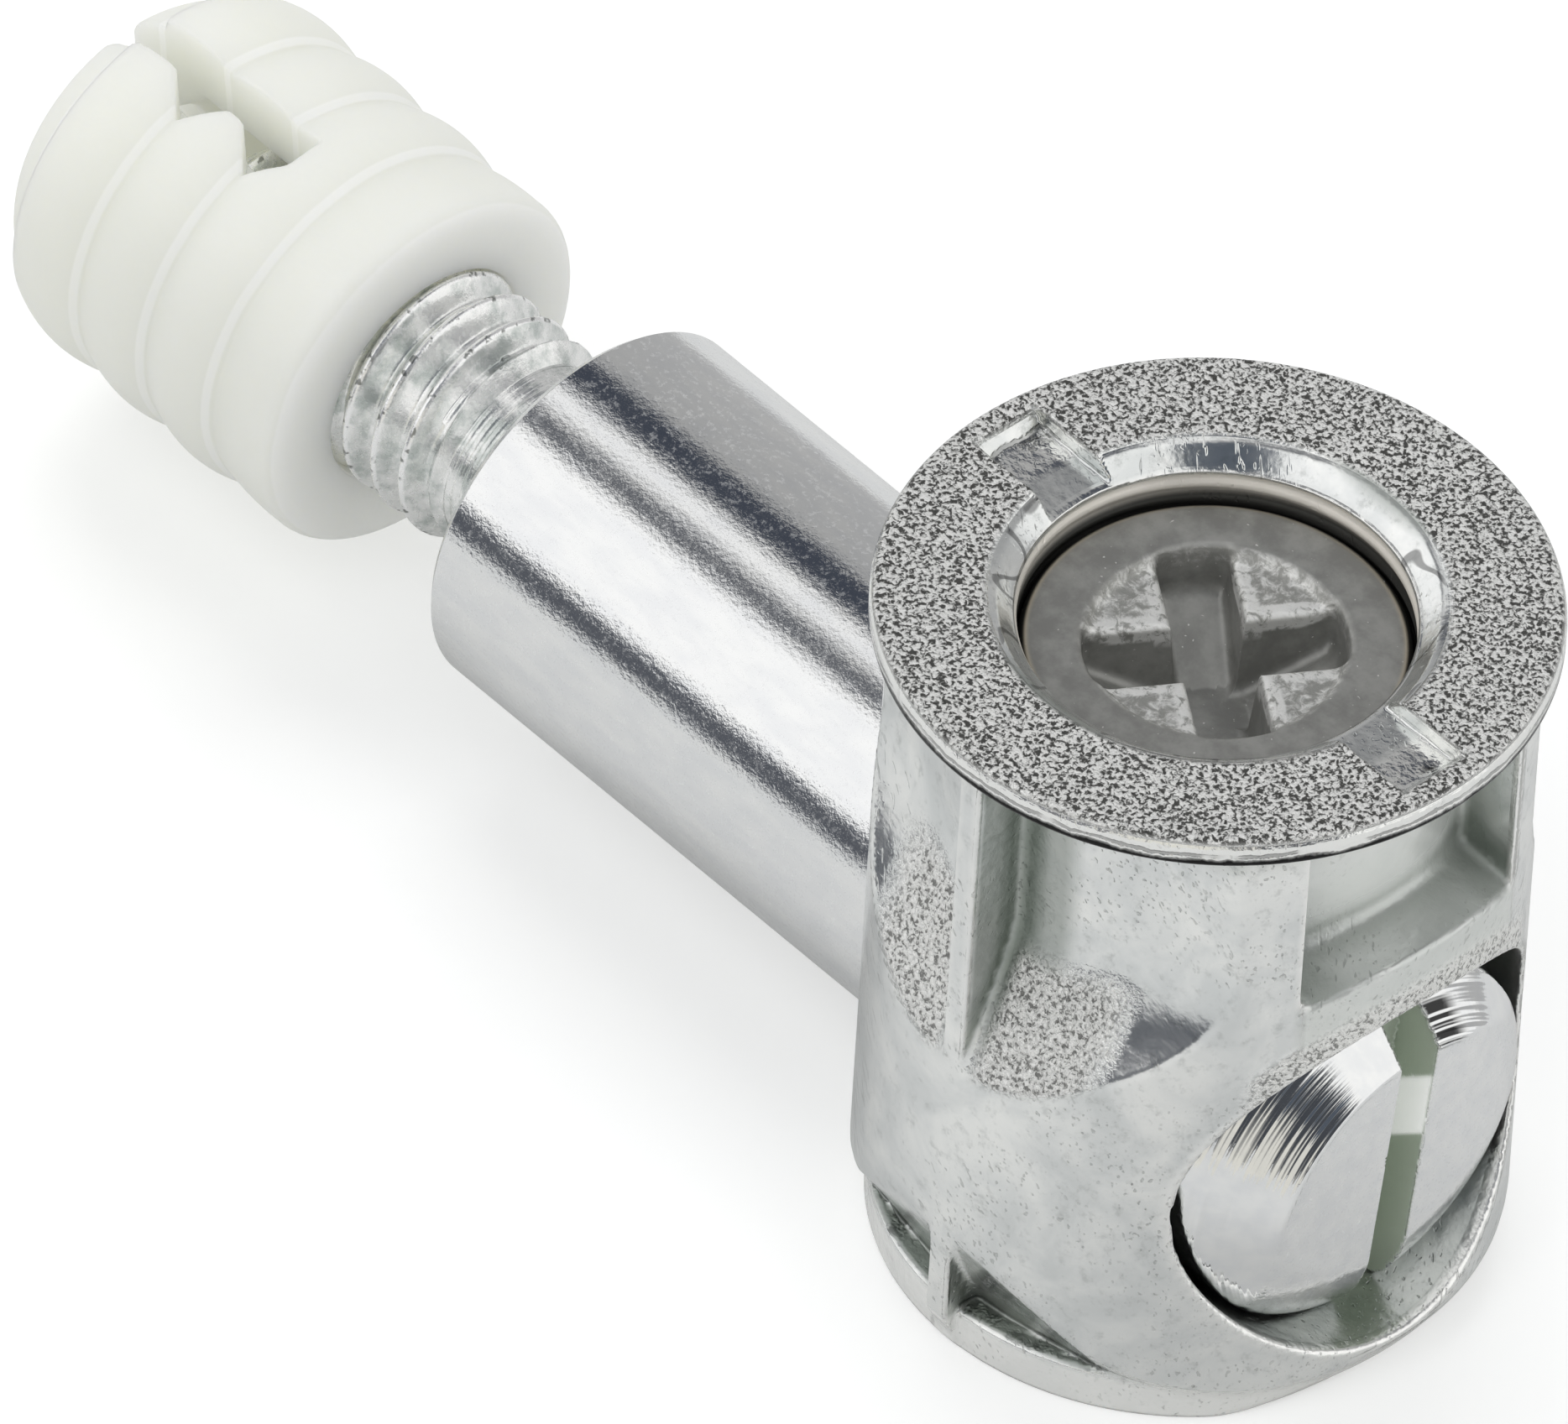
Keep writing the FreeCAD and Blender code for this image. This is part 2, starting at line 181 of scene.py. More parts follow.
# ---- solids as distances -----------------------------------------------------------------------
# A form is given by its distance: below zero inside the metal, above zero outside. Where a wall
# is wavy or steep, its number is scaled down to stay near the true distance.
def fillet(a, b, radius):
    """Both forms joined, with a concave fillet where they meet."""
    inner = np.hypot(np.maximum(radius - a, 0), np.maximum(radius - b, 0))
    return np.maximum(radius, np.minimum(a, b)) - inner


def arris(a, b, radius):
    """What both forms share, with a rounded edge where they meet."""
    outer = np.hypot(np.maximum(radius + a, 0), np.maximum(radius + b, 0))
    return np.minimum(-radius, np.maximum(a, b)) + outer


def cut(a, b, radius):
    """The first form without the second, with a rounded edge."""
    return arris(a, -b, radius)


def circle_through(points):
    """Centre and radius of the circle through three points."""
    (ax, ay), (bx, by), (cx, cy) = points
    rows = np.array([[bx - ax, by - ay], [cx - ax, cy - ay]]) * 2
    sums = [bx * bx - ax * ax + by * by - ay * ay, cx * cx - ax * ax + cy * cy - ay * ay]
    centre = np.linalg.solve(rows, sums)
    return centre, math.hypot(centre[0] - ax, centre[1] - ay)


def turned(y, z, angle):
    """The two coordinates across the bolt, in a frame whose top leans towards +Y by the angle."""
    return y * math.cos(angle) - z * math.sin(angle), y * math.sin(angle) + z * math.cos(angle)


def lying_block(across, y, z):
    """The block round the cross hole: a drafted cone above the bolt, curved up at its mouths below."""
    around = np.hypot(y, z - BOLT_Z)
    cone = around - (BLOCK_R - across * BLOCK_DRAFT)
    centre, radius = circle_through(UNDERSIDE)
    curve = np.hypot(across - centre[0], around - centre[1]) - radius
    curve = np.where(across > UNDERSIDE[0][0], np.maximum(curve, cone), cone)
    return np.where(z < BOLT_Z, curve, cone)


def upright_walls(across, aside, z, rho):
    """The tube round the screw with its four ribs, endless upwards."""
    touch = RIB_EDGE + math.acos(TUBE_R / BARREL_R)
    flat = across * math.cos(touch) + aside * math.sin(touch) - TUBE_R
    ribs = np.maximum(arris(flat, RIB_GAP / 2 - aside, RIB_ARRIS), BOLT_Z - z)
    return fillet(rho - TUBE_R, ribs, GAP_FILLET)


def foot(across, y, z, rho):
    disc = arris(rho - FOOT_R, z - FOOT_HEIGHT, FOOT_ARRIS)
    growth = z / math.tan(FOOT_END_SLOPE)
    end = np.hypot(across + FOOT_END_R - FOOT_END_REACH, y) - FOOT_END_R - growth
    return arris(disc, end * math.sin(FOOT_END_SLOPE), 0.1)


def off_cross_hole(y, z):
    """Distance outside the wall of the cross hole."""
    return np.hypot(y, z - BOLT_Z - CROSS_HOLE_R + SHANK_R + CROSS_HOLE_GAP) - CROSS_HOLE_R


def screw_bore(x, y, z, rho):
    turn = np.arctan2(y, x) / (2 * math.pi)
    groove = np.cos(2 * math.pi * (z / BORE_THREAD_PITCH - turn))
    bore = rho - BORE_R - BORE_THREAD_DEPTH / 2 * (1 + groove)
    bore = np.maximum(bore * 0.7, BOLT_Z - z)
    slope = (LEAD_IN_R - BORE_R) / LEAD_IN_DEPTH
    floor = RIM_TOP - LEAD_IN_DEPTH
    lead_in = (rho - BORE_R - (z - floor) * slope) / math.hypot(1, slope)
    return np.minimum(bore, arris(lead_in, floor - z, 0.1))


def notches(across, aside, z):
    floor = RIM_TOP - NOTCH_DEPTH
    end = across - NOTCH_REACH + (RIM_TOP - z) * NOTCH_SLOPE
    walls = np.maximum(end / math.hypot(1, NOTCH_SLOPE), aside - NOTCH_WIDTH / 2)
    return arris(walls, floor - z, 0.08)


def housing_form(x, y, z):
    across, aside, rho = np.abs(x), np.abs(y), np.hypot(x, y)
    radius = GAP_FILLET + (WALL_FILLET - GAP_FILLET) * ramp(aside, RIB_GAP / 2, RIB_GAP / 2 + 1)
    body = fillet(upright_walls(across, aside, z, rho), lying_block(across, y, z), radius)
    fin = np.maximum(across - FIN / 2, rho - FOOT_R - np.maximum(z - 0.3, 0) * FIN_FLARE)
    body = fillet(np.maximum(body, FOOT_HEIGHT / 2 - z), fin, FIN_FILLET)
    body = arris(body, rho - BARREL_R, BARREL_ARRIS)
    body = np.maximum(body, np.maximum(z - RIM_TOP + 0.3, -z))
    rim = arris(arris(rho - RIM_R, z - RIM_TOP, RIM_ARRIS), RIM_UNDERSIDE - z, 0.1)
    body = fillet(fillet(body, rim, RIM_FILLET), foot(across, y, z, rho), FOOT_FILLET)
    body = arris(body, -z, FOOT_ARRIS)
    body = cut(body, off_cross_hole(y, z), CROSS_HOLE_ARRIS)
    body = cut(body, screw_bore(x, y, z, rho), BORE_ARRIS)
    return cut(body, notches(across, aside, z), NOTCH_ARRIS)


def grub_screw_form(x, y, z):
    rho = np.hypot(x, y)
    cone = (rho - SCREW_TIP_R - (z - SCREW_TIP)) / math.sqrt(2)
    body = arris(arris(rho - SCREW_R, z - SCREW_TOP, SCREW_EDGE), SCREW_TIP - z, 0.05)
    body = arris(body, cone, 0.1)
    dish_floor = SCREW_TOP - DISH_DEPTH
    dish = arris(rho - DISH_R - (z - SCREW_TOP) * DISH_SLOPE, dish_floor - z, 0.15)
    along = x * math.cos(CROSS_TURN) + y * math.sin(CROSS_TURN)
    beside = y * math.cos(CROSS_TURN) - x * math.sin(CROSS_TURN)
    outward = np.maximum(np.abs(along), np.abs(beside))
    depth = dish_floor - CROSS_DEPTH + np.maximum(outward - CROSS_WIDTH / 2, 0) * CROSS_RISE
    taper = (dish_floor - z) * CROSS_TAPER
    arms = np.minimum(np.abs(along), np.abs(beside)) - CROSS_WIDTH / 2 + taper
    cross = arris(arris(arms, rho - DISH_R + taper, 0.15), (depth - z) * 0.85, 0.25)
    return cut(cut(body, dish, DISH_ARRIS), cross, CROSS_ARRIS)


def thread(x, y, z, radius):
    """A right-hand thread with rounded crests, about the bolt's axis."""
    turn = np.arctan2(z, y) / (2 * math.pi)
    phase = (x - NECK_END) / THREAD_PITCH - turn
    crest = np.abs((phase + 0.5) % 1 - 0.5) * 2
    fall = crest * crest * (3 - 2 * crest)
    return (np.hypot(y, z) - radius + THREAD_DEPTH * fall) * 0.6


def bolt_form(x, y, z):
    z = z - BOLT_Z
    rho = np.hypot(y, z)
    along = np.maximum(x - HEAD_FACE + CROWN_HEIGHT, 0) / CROWN_HEIGHT
    out = np.maximum(rho - CROWN_FLAT_R, 0) / (SHANK_R - CROWN_FLAT_R)
    crown = (along ** CROWN_FULLNESS + out ** CROWN_FULLNESS) ** (1 / CROWN_FULLNESS) - 1
    body = np.maximum(np.maximum(rho - SHANK_R, x - HEAD_FACE), crown)
    flank = np.maximum(WAIST[0] - x, x - WAIST[1])
    body = np.maximum(body, (rho - WAIST_R - np.maximum(flank, 0)) / math.sqrt(2))
    grown = BEVEL_R + (HEAD_FACE - x) * math.tan(BEVEL_SLOPE)
    bevel = (np.hypot(y - BEVEL_ASIDE, z + BEVEL_BELOW) - grown) * math.cos(BEVEL_SLOPE)
    body = arris(body, bevel, BOLT_ARRIS)
    slot_y, _ = turned(y, z, SLOT_TURN)
    slot = np.maximum(np.abs(slot_y - SLOT_ASIDE) - SLOT_WIDTH / 2, HEAD_FACE - SLOT_DEPTH - x)
    body = cut(body, slot, SLOT_ARRIS)
    chamfer = (rho - SHANK_R + SHANK_CHAMFER - (x - SHOULDER)) / math.sqrt(2)
    body = arris(np.maximum(body, chamfer), SHOULDER - x, BOLT_ARRIS)
    groove = NECK_GROOVE * np.cos(2 * math.pi * x / NECK_GROOVE_PITCH)
    neck = np.maximum(rho - NECK_R - groove, NECK_END - 0.3 - x)
    stud = thread(x, y, z, THREAD_R)
    stud = np.maximum(stud, (x - NECK_END - (THREAD_R - rho)) / math.sqrt(2))
    stud = np.maximum(stud, (rho - THREAD_R + THREAD_CHAMFER - (x - THREAD_END)) / math.sqrt(2))
    stud = np.minimum(stud, np.maximum(neck, x - SHOULDER - 1))
    return fillet(body, np.maximum(stud, THREAD_END - x), 0.08)


def dowel_profile(x):
    """Radius of the dowel's outside at x."""
    first_valley = DOWEL_FACE - COLLAR_LENGTH
    bead = (first_valley - x) / BEAD_PITCH
    swell = 1 - (2 * (bead - np.floor(bead)) - 1) ** 2
    beads = VALLEY_R + (BEAD_R - VALLEY_R) * swell
    narrowing = ramp(x, DOWEL_FACE - COLLAR_STRAIGHT, first_valley)
    collar = COLLAR_R - (COLLAR_R - VALLEY_R) * narrowing ** 2
    radius = np.where(x > first_valley, collar, beads)
    centre, curve = circle_through(NOSE)
    nose = centre[1] + np.sqrt(np.maximum(curve ** 2 - (x - DOWEL_TIP - centre[0]) ** 2, 0))
    return np.where(x < DOWEL_TIP + NOSE_LENGTH, nose, radius)


def dowel_form(x, y, z):
    z = z - BOLT_Z
    rho = np.hypot(y, z)
    body = (rho - dowel_profile(x)) * 0.85
    body = arris(body, x - DOWEL_FACE, COLLAR_ROUND)
    body = arris(body, DOWEL_TIP - x, 0.2)
    bore = np.maximum(rho - DOWEL_BORE_R, (rho - DOWEL_BORE_R - (x - DOWEL_BORE_END)) / math.sqrt(2))
    body = cut(cut(body, bore, 0.04), rho - NOSE_HOLE_R, 0.15)
    across, _ = turned(y, z, SPLIT_TURN)
    split_end = DOWEL_TIP + SPLIT_LENGTH
    split = np.abs(across) - SPLIT_WIDTH / 2
    for number in range(1, BEAD_COUNT):
        valley = DOWEL_FACE - COLLAR_LENGTH - BEAD_PITCH * number
        nick = np.abs(x - valley) / (NICK_LENGTH / 2) - across / NICK_REACH - 1
        nick = np.maximum(np.maximum(nick * 0.9, across), NICK_FLOOR_R - rho)
        split = np.minimum(split, nick)
    return cut(body, arris(split, x - split_end, SPLIT_ARRIS), SPLIT_ARRIS)


# ---- meshes from distances ---------------------------------------------------------------------
def ruled(start, *stretches):
    """Places along a line: each stretch is (its end, the step up to there)."""
    places = [start]
    for end, step in stretches:
        count = max(1, round((end - places[-1]) / step))
        places += list(np.linspace(places[-1], end, count + 1)[1:])
    return np.array(places)


def slopes(form, points, step=0.004):
    """Gradient of the distance at each point."""
    columns = []
    for axis in range(3):
        ahead, behind = points.copy(), points.copy()
        ahead[:, axis] += step
        behind[:, axis] -= step
        columns.append((form(*ahead.T) - form(*behind.T)) / (2 * step))
    return np.stack(columns, 1)


def settled(form, points, longest):
    """Each point moved onto the surface, by short steps along the slope."""
    for _ in range(4):
        slope = slopes(form, points)
        steep = np.maximum((slope ** 2).sum(1), 0.05)
        move = slope * (form(*points.T) / steep)[:, None]
        length = np.linalg.norm(move, axis=1, keepdims=True)
        points = points - move * np.minimum(1, longest / np.maximum(length, 1e-9))
    return points


def skin(form, stations, radii, turns, placed):
    """A closed mesh on the form's surface, from a round grid of stations, turns and radii."""
    angles = np.arange(turns) * 2 * math.pi / turns
    s, a, r = np.meshgrid(stations, angles, radii, indexing="ij")
    grid = np.stack(placed(s, r * np.cos(a), r * np.sin(a)), -1)
    distance = form(grid[..., 0], grid[..., 1], grid[..., 2])
    inside = distance < 0

    def corner(field, i, j, k):
        """A field at one corner of every cell; the turns close on themselves."""
        field = np.roll(field, -j, 1)
        return field[i:i + len(stations) - 1, :, k:k + len(radii) - 1]

    corners = [(i, j, k) for i in (0, 1) for j in (0, 1) for k in (0, 1)]
    states = np.stack([corner(inside, *c) for c in corners])
    mixed = states.any(0) & ~states.all(0)
    number = np.full(mixed.shape, -1)
    number[mixed] = np.arange(mixed.sum())
    total = np.zeros((mixed.sum(), 3))
    count = np.zeros(mixed.sum())
    for c in corners:
        for axis in range(3):
            if c[axis]:
                continue
            other = tuple(v + (n == axis) for n, v in enumerate(c))
            d0, d1 = corner(distance, *c)[mixed], corner(distance, *other)[mixed]
            p0, p1 = corner(grid, *c)[mixed], corner(grid, *other)[mixed]
            crossing = (d0 < 0) != (d1 < 0)
            share = np.where(crossing, d0 / np.where(crossing, d0 - d1, 1), 0)
            total += np.where(crossing[:, None], p0 + (p1 - p0) * share[:, None], 0)
            count += crossing
    points = total / count[:, None]

    faces = []
    # edges along the stations, with the four cells round them
    flip = (inside[:-1] != inside[1:])[:, :, 1:-1]
    i, j, k = np.nonzero(flip)
    ring = [number[i, j - 1, k], number[i, j, k], number[i, j, k + 1], number[i, j - 1, k + 1]]
    faces.append((np.stack(ring, 1), inside[i, j, k + 1]))
    # edges along the turns
    flip = (inside != np.roll(inside, -1, 1))[1:-1, :, 1:-1]
    i, j, k = np.nonzero(flip)
    ring = [number[i, j, k], number[i, j, k + 1], number[i + 1, j, k + 1], number[i + 1, j, k]]
    faces.append((np.stack(ring, 1), inside[i + 1, j, k + 1]))
    # edges along the radii
    flip = (inside[:, :, :-1] != inside[:, :, 1:])[1:-1]
    i, j, k = np.nonzero(flip)
    ring = [number[i, j - 1, k], number[i, j, k], number[i + 1, j, k], number[i + 1, j - 1, k]]
    faces.append((np.stack(ring, 1), ~inside[i + 1, j, k]))
    quads = np.concatenate([np.where(turn[:, None], f[:, ::-1], f) for f, turn in faces])

    # where the surface crosses the axis, a fan closes the innermost ring of cells
    fans, centres = [], []
    for i in np.nonzero(inside[:-1, 0, 0] != inside[1:, 0, 0])[0]:
        d0, d1 = distance[i, 0, 0], distance[i + 1, 0, 0]
        centres.append(grid[i, 0, 0] + (grid[i + 1, 0, 0] - grid[i, 0, 0]) * d0 / (d0 - d1))
        ring = number[i, :, 0]
        middle = np.full(turns, len(points) + len(centres) - 1)
        fan = np.stack([middle, ring, np.roll(ring, -1)], 1)
        fans.append(fan if inside[i, 0, 0] else fan[:, ::-1])
    points = np.concatenate([points, np.array(centres).reshape(-1, 3)])
    return points, quads, fans


def made(name, form, stations, radii, turns, placed, longest=0.06):
    """The mesh object of a form, smooth, with its normals from the form's own slope."""
    points, quads, fans = skin(form, stations, radii, turns, placed)
    points = settled(form, points, longest)
    faces = quads.tolist() + [face for fan in fans for face in fan.tolist()]
    mesh = bpy.data.meshes.new(name)
    mesh.from_pydata((points * MM).tolist(), [], faces)
    mesh.validate()
    mesh.shade_smooth()
    normals = slopes(form, points)
    normals /= np.maximum(np.linalg.norm(normals, axis=1, keepdims=True), 1e-9)
    mesh.normals_split_custom_set_from_vertices(normals.tolist())
    piece = bpy.data.objects.new(name, mesh)
    bpy.context.scene.collection.objects.link(piece)
    print(name, len(points), "points", sum(len(f) - 2 for f in faces), "triangles")
    return piece, points, normals


def about_z(s, u, v):
    return u, v, s


def about_bolt(s, u, v):
    return s, u, v + BOLT_Z


# Each grid is finer where the form has small edges.
housing_z = ruled(-0.3, (0.4, 0.1), (1.7, 0.14), (18.5, 0.2), (18.9, 0.12), (20.2, 0.08))
housing_r = ruled(0, (4.4, 0.5), (5.7, 0.1), (6.5, 0.13), (7.5, 0.2), (7.9, 0.1), (8.3, 0.08))
housing, housing_points, housing_normals = made("cast_housing", housing_form,
                                                housing_z, housing_r, 284, about_z)

screw_z = ruled(SCREW_TIP - 0.2, (10.3, 0.15), (14.9, 0.35), (17.8, 0.12), (18.75, 0.06))
screw_r = ruled(0, (3.4, 0.1), (4.4, 0.15), (5.2, 0.08))
grub_screw, screw_points, screw_normals = made("cross_screw", grub_screw_form,
                                               screw_z, screw_r, 240, about_z)

bolt_x = ruled(THREAD_END - 0.2, (-27.3, 0.2), (-24.0, 0.085), (-21.3, 0.09), (-5.6, 1.2),
               (2.9, 0.3), (5.2, 0.16), (7.1, 0.07))
bolt_r = ruled(0, (2.1, 0.2), (3.1, 0.08), (4.6, 0.12), (5.2, 0.08))
bolt, bolt_points, _ = made("slotted_bolt", bolt_form, bolt_x, bolt_r, 204, about_bolt)

dowel_x = ruled(DOWEL_TIP - 0.25, (-36.2, 0.08), (-26.85, 0.11))
dowel_r = ruled(0, (1.3, 0.4), (3.2, 0.12), (4.3, 0.15), (5.2, 0.1))
dowel, _, _ = made("beaded_dowel", dowel_form, dowel_x, dowel_r, 240, about_bolt)


# ---- shader maths ------------------------------------------------------------------------------
class Value:
    """A socket in a node tree, with operators that add Math nodes."""

    def __init__(self, finish, socket):
        self.finish, self.socket = finish, socket

    def maths(self, operation, *others, clamp=False):
        values = dict(enumerate((self, *others)))
        settings = {"operation": operation, "use_clamp": clamp}
        return self.finish.node("ShaderNodeMath", settings, values)

    def __add__(self, other): return self.maths("ADD", other)
    def __radd__(self, other): return self.maths("ADD", other)
    def __sub__(self, other): return self.maths("SUBTRACT", other)
    def __rsub__(self, other): return self.finish.number(other).maths("SUBTRACT", self)
    def __mul__(self, other): return self.maths("MULTIPLY", other)
    def __rmul__(self, other): return self.maths("MULTIPLY", other)
    def __truediv__(self, other): return self.maths("DIVIDE", other)
    def __abs__(self): return self.maths("ABSOLUTE")

    def clipped(self):
        return self.maths("ADD", 0.0, clamp=True)


class Finish:
    """A material while it is made, or the nodes of a world."""

    def __init__(self, name, colour, metallic, roughness, tree=None):
        if tree is None:
            self.material = bpy.data.materials.new(name)
            self.material.use_nodes = True
            tree = self.material.node_tree
            self.shader = tree.nodes["Principled BSDF"]
            self.shader.inputs["Base Color"].default_value = (*colour, 1)
            self.shader.inputs["Metallic"].default_value = metallic
            self.shader.inputs["Roughness"].default_value = roughness
        self.tree = tree

    def node(self, kind, settings=None, values=None, out=0):
        """A node of that type: its settings are set first, then its sockets' values or links."""
        node = self.tree.nodes.new(kind)
        for name, setting in (settings or {}).items():
            if name == "stops":
                elements = node.color_ramp.elements
                for place, _ in setting[1:-1]:
                    elements.new(place)
                for element, (place, colour) in zip(elements, setting):
                    element.position = place
                    element.color = colour
            else:
                setattr(node, name, setting)
        for name, value in (values or {}).items():
            if isinstance(value, Value):
                self.tree.links.new(value.socket, node.inputs[name])
            else:
                node.inputs[name].default_value = value
        return Value(self, node.outputs[out])

    def number(self, value):
        return self.node("ShaderNodeMath", {"operation": "ADD"}, {0: value, 1: 0.0})

    def set(self, socket, value):
        self.tree.links.new(value.socket, self.shader.inputs[socket])

    def place(self, scale=(1, 1, 1)):
        """The place on the object in millimetres, stretched by the scale."""
        spot = self.node("ShaderNodeTexCoord", out=3)
        return self.node("ShaderNodeVectorMath", {"operation": "MULTIPLY"},
                         {0: spot, 1: tuple(v / MM for v in scale)})

    def spot(self):
        """The same as three numbers."""
        values = {0: self.place()}
        split = self.node("ShaderNodeSeparateXYZ", {}, values).socket.node
        return [Value(self, socket) for socket in split.outputs]

    def distance(self, first, second):
        """Length of the two numbers taken as the sides of a right angle."""
        return (first * first + second * second).maths("SQRT")

    def noise(self, size, detail=2.0, rough=0.5, scale=(1, 1, 1), warp=0.0, turn=None):
        """Cloudy noise about 0 to 1, whose features are about that many millimetres across."""
        if turn:
            place = self.node("ShaderNodeVectorRotate", {"rotation_type": "EULER_XYZ"},
                              {"Vector": self.place(), "Rotation": turn})
            place = self.node("ShaderNodeVectorMath", {"operation": "MULTIPLY"}, {0: place, 1: scale})
        else:
            place = self.place(scale)
        return self.node("ShaderNodeTexNoise", {},
                         {"Vector": place, "Scale": 0.5 / size, "Detail": detail,
                          "Roughness": rough, "Distortion": warp})

    def line(self, value, middle, half):
        """1 within that half width of the middle, and 0 from twice as far."""
        return self.band(abs(value - middle), half * 2, half)

    def band(self, value, off, on):
        """0 as far as off and 1 from on, smooth between; either may be the higher."""
        return self.node("ShaderNodeMapRange", {"interpolation_type": "SMOOTHSTEP"},
                         {"Value": value, "From Min": off, "From Max": on})

    def mixed(self, share, first, second):
        """Colours mixed by the share."""
        values = {0: share}
        for index, colour in ((6, first), (7, second)):
            values[index] = colour if isinstance(colour, Value) else (*colour, 1)
        return self.node("ShaderNodeMix", {"data_type": "RGBA"}, values, out=2)

    def painted(self, name):
        """A number stored on the mesh's points."""
        return self.node("ShaderNodeAttribute", {"attribute_name": name}, out=2)

    def bumped(self, *layers):
        """Bump layers: each is a height from 0 to 1, and its depth in millimetres."""
        normal = None
        for height, depth in layers:
            values = {"Height": height, "Distance": depth * MM, "Strength": 1.0}
            if normal is not None:
                values["Normal"] = normal
            normal = self.node("ShaderNodeBump", {}, values)
        self.set("Normal", normal)


def paint(piece, name, amounts):
    """Stores a number at each point of the piece's mesh."""
    layer = piece.data.attributes.new(name, "FLOAT", "POINT")
    layer.data.foreach_set("value", np.asarray(amounts, np.float32))


def enclosed(form, points, normals, depth):
    """Near 1 in a corner or a narrow gap, 0 in the open."""
    return np.clip(1 - form(*(points + normals * depth).T) / depth, 0, 1)


def exposed(form, points, normals, depth):
    """Near 1 on an outer edge, 0 on a flat."""
    return np.clip(1 + form(*(points - normals * depth).T) / depth, 0, 1)


